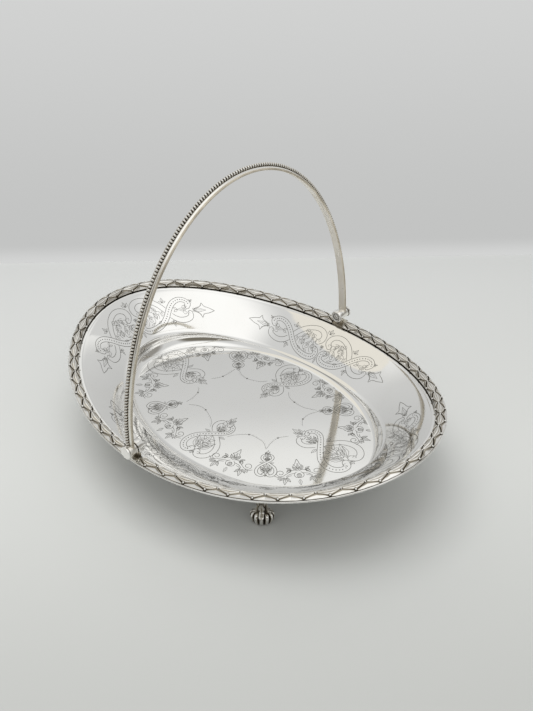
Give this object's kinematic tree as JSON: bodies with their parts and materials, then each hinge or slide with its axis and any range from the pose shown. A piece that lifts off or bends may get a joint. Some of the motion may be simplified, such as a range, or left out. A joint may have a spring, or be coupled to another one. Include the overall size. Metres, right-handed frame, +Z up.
{
  "type": "swing-handle basket",
  "caption": "Oval footed table basket with a stepped well, a laurel border on its saddle-shaped rim and a beaded bail handle that swings on barrel hinges.",
  "frame": {"origin": "on the table, at the centre of the oval between the feet", "axes": "+Z up, +X along the oval, +Y across it along the hinge axis towards the back hinge"},
  "size_m": [0.32, 0.2432, 0.2304],
  "materials": {
    "sheet_silver": "polished silver plate on thin sheet, engraved inside",
    "cast_silver": "cast and chased silver plate with dark oxide in its hollows",
    "handle_silver": "smooth drawn silver plate",
    "bead_silver": "beaded silver plate, dark between the beads"
  },
  "bodies": {
    "basket": {"bowl": "sheet_silver", "rim_wire": "sheet_silver", "border_back_right": "cast_silver", "border_back_left": "cast_silver", "border_front_right": "cast_silver", "border_front_left": "cast_silver", "hinge_bracket_front": "cast_silver", "hinge_pin_front": "cast_silver", "hinge_bracket_back": "cast_silver", "hinge_pin_back": "cast_silver", "foot_front_left": "cast_silver", "foot_front_right": "cast_silver", "foot_back_left": "cast_silver", "foot_back_right": "cast_silver"},
    "handle": {"handle_bail": "handle_silver", "handle_beads": "bead_silver"}
  },
  "joints": [
    {"name": "handle_swing", "type": "hinge", "parent": "basket", "child": "handle", "pos_m": [0, 0, 0.0643], "axis": [0, 1, 0], "range_deg": [-86, 86]}
  ]
}
